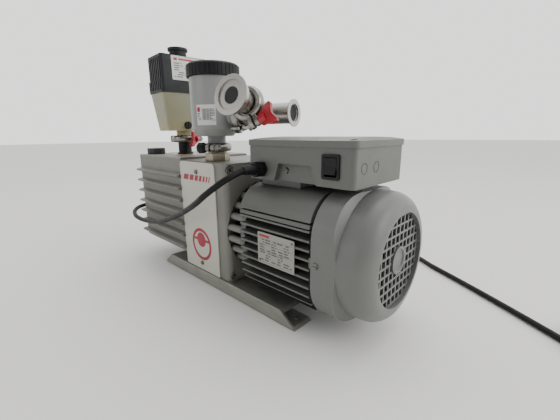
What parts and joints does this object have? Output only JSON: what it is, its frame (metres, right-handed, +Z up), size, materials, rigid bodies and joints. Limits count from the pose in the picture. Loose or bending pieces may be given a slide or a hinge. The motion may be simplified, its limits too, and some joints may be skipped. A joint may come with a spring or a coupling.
{
  "type": "rotary vane vacuum pump",
  "caption": "Two-stage oil-sealed rotary vane vacuum pump with direct-drive motor, inlet trap, flanged tee, exhaust mist filter and mains lead, on two slotted rails.",
  "frame": {"origin": "centre of the four base fixing holes, on the underside of the rails", "axes": "+X along the shaft towards the motor's fan, +Z up, -Y towards the side with the switch and the mains lead's gland"},
  "size_m": [0.9175, 0.4691, 0.446],
  "materials": {
    "grey_casting_paint": "satin paint over a sand casting",
    "grey_frame_paint": "satin paint over a die casting",
    "grey_motor_paint": "satin paint",
    "white_plate_paint": "satin paint",
    "machined_iron": "machined",
    "machined_steel": "machined",
    "aluminium_casting": "as cast",
    "polished_steel": "polished",
    "brushed_stainless": "brushed",
    "black_screw": "black oxide",
    "zinc_screw": "zinc plated",
    "brass": "dull",
    "black_plastic": "moulded",
    "dark_grey_plastic": "moulded",
    "red_plastic": "moulded",
    "yellowed_bowl": "translucent, yellowed",
    "cord_rubber": "matt",
    "seal_rubber": "matt",
    "spider_rubber": "matt",
    "vane_composite": "machined",
    "copper_enamel": "varnished windings",
    "lamination_steel": "stacked",
    "filter_felt": "pleated",
    "sight_glass": "clear",
    "silver_label": "printed"
  },
  "bodies": {
    "casing": {"base_rails": "aluminium_casting", "pump_body": "grey_casting_paint", "side_plates": "white_plate_paint", "oil_box": "grey_casting_paint", "sight_glass": "sight_glass", "hv_stator": "machined_iron", "lv_stator": "machined_iron", "intermediate_plate": "machined_iron", "end_plate": "machined_iron", "exhaust_valve": "machined_steel", "shaft_seal": "seal_rubber", "housing_screws": "black_screw", "motor_frame": "grey_frame_paint", "drive_end_shield": "grey_frame_paint", "rear_end_shield": "grey_frame_paint", "stator_core": "lamination_steel", "stator_windings": "copper_enamel", "motor_bearings": "machined_steel", "fan_cowl": "grey_motor_paint", "cover_screws": "zinc_screw", "nameplate": "silver_label", "terminal_box": "grey_frame_paint", "terminal_box_lid": "grey_frame_paint", "switch_body": "black_plastic", "capacitor": "aluminium_casting", "cord_gland": "black_plastic", "inlet_adaptor": "brass", "clamp_rings": "polished_steel", "trap_body": "grey_frame_paint", "trap_element": "filter_felt", "tee_piece": "brushed_stainless", "branch_adaptor": "brushed_stainless", "centring_rings": "brushed_stainless", "outlet_tube": "black_plastic", "filter_bowl": "yellowed_bowl", "filter_cover": "dark_grey_plastic", "filter_element": "filter_felt", "power_cord": "cord_rubber", "cord_coil": "cord_rubber", "power_plug": "black_plastic"},
    "shaft_line": {"hv_rotor": "machined_steel", "lv_rotor": "machined_steel", "vane_springs": "machined_steel", "coupling_hubs": "aluminium_casting", "coupling_spider": "spider_rubber", "motor_shaft": "machined_steel", "rotor_core": "lamination_steel", "cooling_fan": "dark_grey_plastic"},
    "hv_vane_a": {"hv_vane_a": "vane_composite"},
    "hv_vane_b": {"hv_vane_b": "vane_composite"},
    "lv_vane_a": {"lv_vane_a": "vane_composite"},
    "lv_vane_b": {"lv_vane_b": "vane_composite"},
    "rocker": {"rocker": "black_plastic"},
    "filler_cap": {"filler_cap": "dark_grey_plastic"},
    "drain_plug": {"drain_plug": "brass"},
    "trap_cap": {"trap_cap": "black_plastic"},
    "gas_ballast_knob": {"gas_ballast_knob": "black_plastic"},
    "inlet_knob": {"inlet_knob": "black_plastic"},
    "branch_nut": {"branch_nut": "red_plastic"},
    "outlet_nut": {"outlet_nut": "red_plastic"}
  },
  "joints": [
    {"name": "shaft_spin", "type": "hinge", "parent": "casing", "child": "shaft_line", "pos_m": [0, 0, 0.113], "axis": [1, 0, 0], "continuous": true},
    {"name": "hv_vane_a_slide", "type": "slide", "parent": "shaft_line", "child": "hv_vane_a", "axis": [0, -1, 0], "range_m": [0, 0.008]},
    {"name": "hv_vane_b_slide", "type": "slide", "parent": "shaft_line", "child": "hv_vane_b", "axis": [0, 1, 0], "range_m": [0, 0.008]},
    {"name": "lv_vane_a_slide", "type": "slide", "parent": "shaft_line", "child": "lv_vane_a", "axis": [0, -1, 0], "range_m": [0, 0.008]},
    {"name": "lv_vane_b_slide", "type": "slide", "parent": "shaft_line", "child": "lv_vane_b", "axis": [0, 1, 0], "range_m": [0, 0.008]},
    {"name": "rocker_tilt", "type": "hinge", "parent": "casing", "child": "rocker", "pos_m": [0.22, -0.06, 0.2345], "axis": [1, 0, 0], "range_deg": [0, 20]},
    {"name": "filler_cap_lift", "type": "slide", "parent": "casing", "child": "filler_cap", "axis": [0, 0, 1], "range_m": [0, 0.03]},
    {"name": "drain_plug_pull", "type": "slide", "parent": "casing", "child": "drain_plug", "axis": [-1, 0, 0], "range_m": [0, 0.025]},
    {"name": "trap_cap_lift", "type": "slide", "parent": "casing", "child": "trap_cap", "axis": [0, 0, 1], "range_m": [0, 0.03]},
    {"name": "gas_ballast_turn", "type": "hinge", "parent": "casing", "child": "gas_ballast_knob", "pos_m": [-0.08, 0.082, 0.196], "axis": [0, 1, 0], "range_deg": [0, 180]},
    {"name": "inlet_knob_turn", "type": "hinge", "parent": "casing", "child": "inlet_knob", "pos_m": [-0.0233, -0.07861, 0.252], "axis": [-0.8192, -0.5736, 0], "continuous": true},
    {"name": "branch_nut_turn", "type": "hinge", "parent": "casing", "child": "branch_nut", "pos_m": [0.10465, -0.07074, 0.2925], "axis": [0.8013, 0.3047, 0.5148], "continuous": true},
    {"name": "outlet_nut_turn", "type": "hinge", "parent": "casing", "child": "outlet_nut", "pos_m": [-0.16877, -0.00302, 0.265], "axis": [0.5299, -0.848, 0], "continuous": true}
  ]
}
